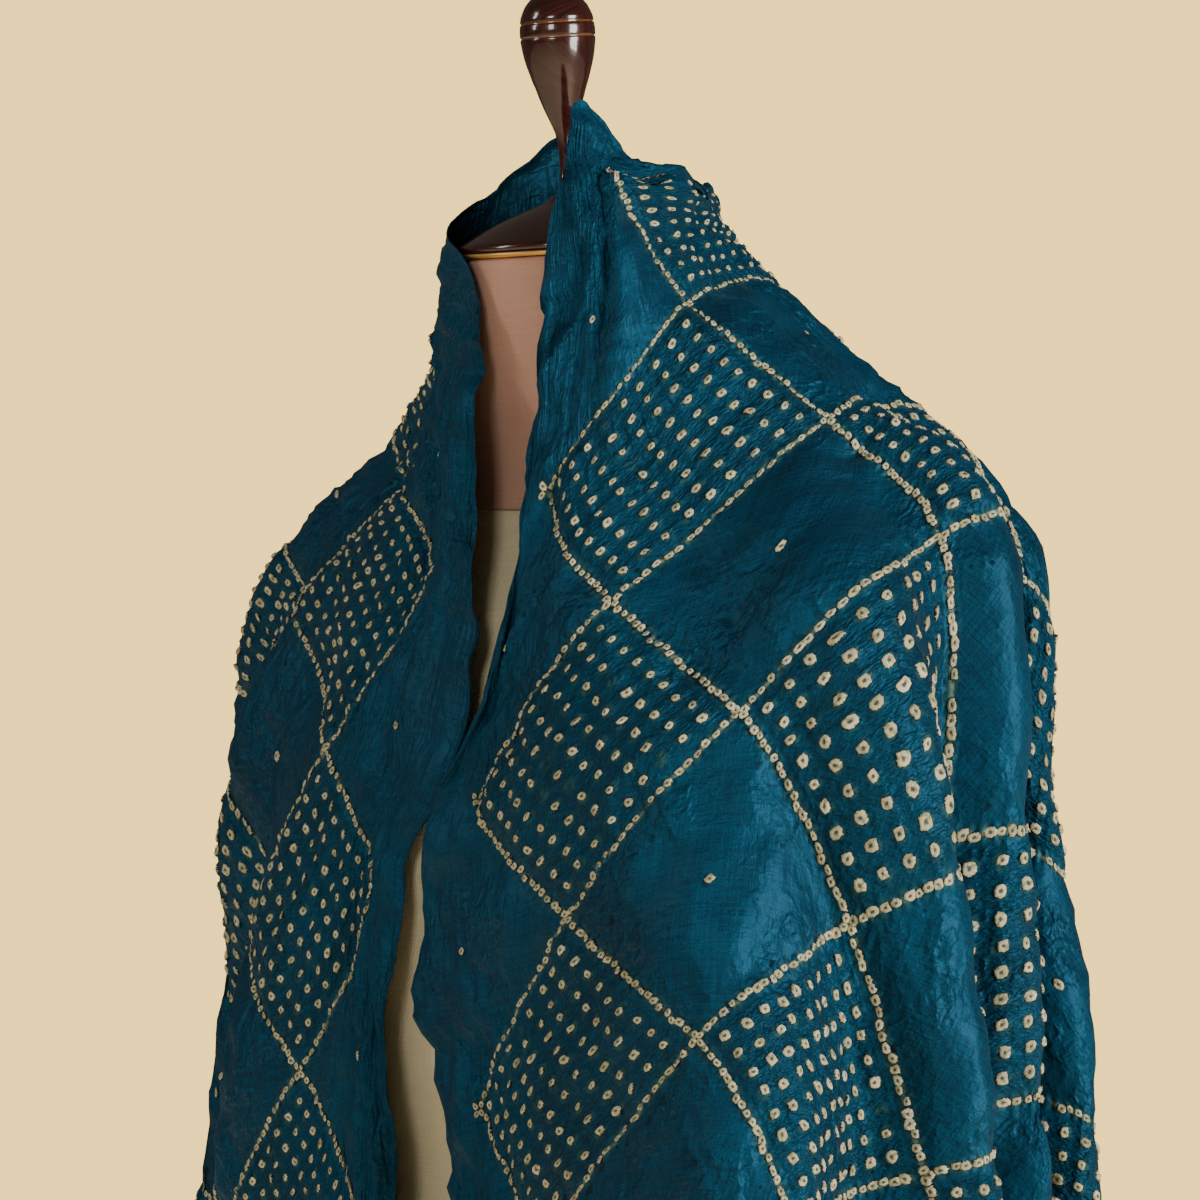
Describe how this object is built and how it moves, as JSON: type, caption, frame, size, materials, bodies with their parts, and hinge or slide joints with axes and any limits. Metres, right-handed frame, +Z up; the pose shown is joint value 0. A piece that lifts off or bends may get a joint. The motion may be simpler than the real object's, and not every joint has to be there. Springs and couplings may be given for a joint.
{
  "type": "bandhani stole draped on a dress form stand",
  "caption": "Tie-dyed silk stole with a dotted diamond lattice, draped as an open shawl over the shoulders of a padded dress form on a pole and round base.",
  "frame": {"origin": "centre of the flat underside of the round base", "axes": "+Z up the pole; the front of the form faces -Y and its left shoulder is on +X"},
  "size_m": [0.536, 0.38, 1.5864],
  "materials": {
    "cloth": "satin teal silk with small cream tied dots",
    "form_cover": "plain cream cotton",
    "neck_cover": "plain pinkish tan jersey",
    "rim": "polished",
    "wood": "gloss dark red-brown"
  },
  "bodies": {
    "root": {"cloth": "cloth", "form_torso": "form_cover", "form_neck": "neck_cover", "neck_rim": "rim", "neck_cap": "wood", "finial": "wood", "pole": "wood", "base": "wood"}
  },
  "joints": []
}
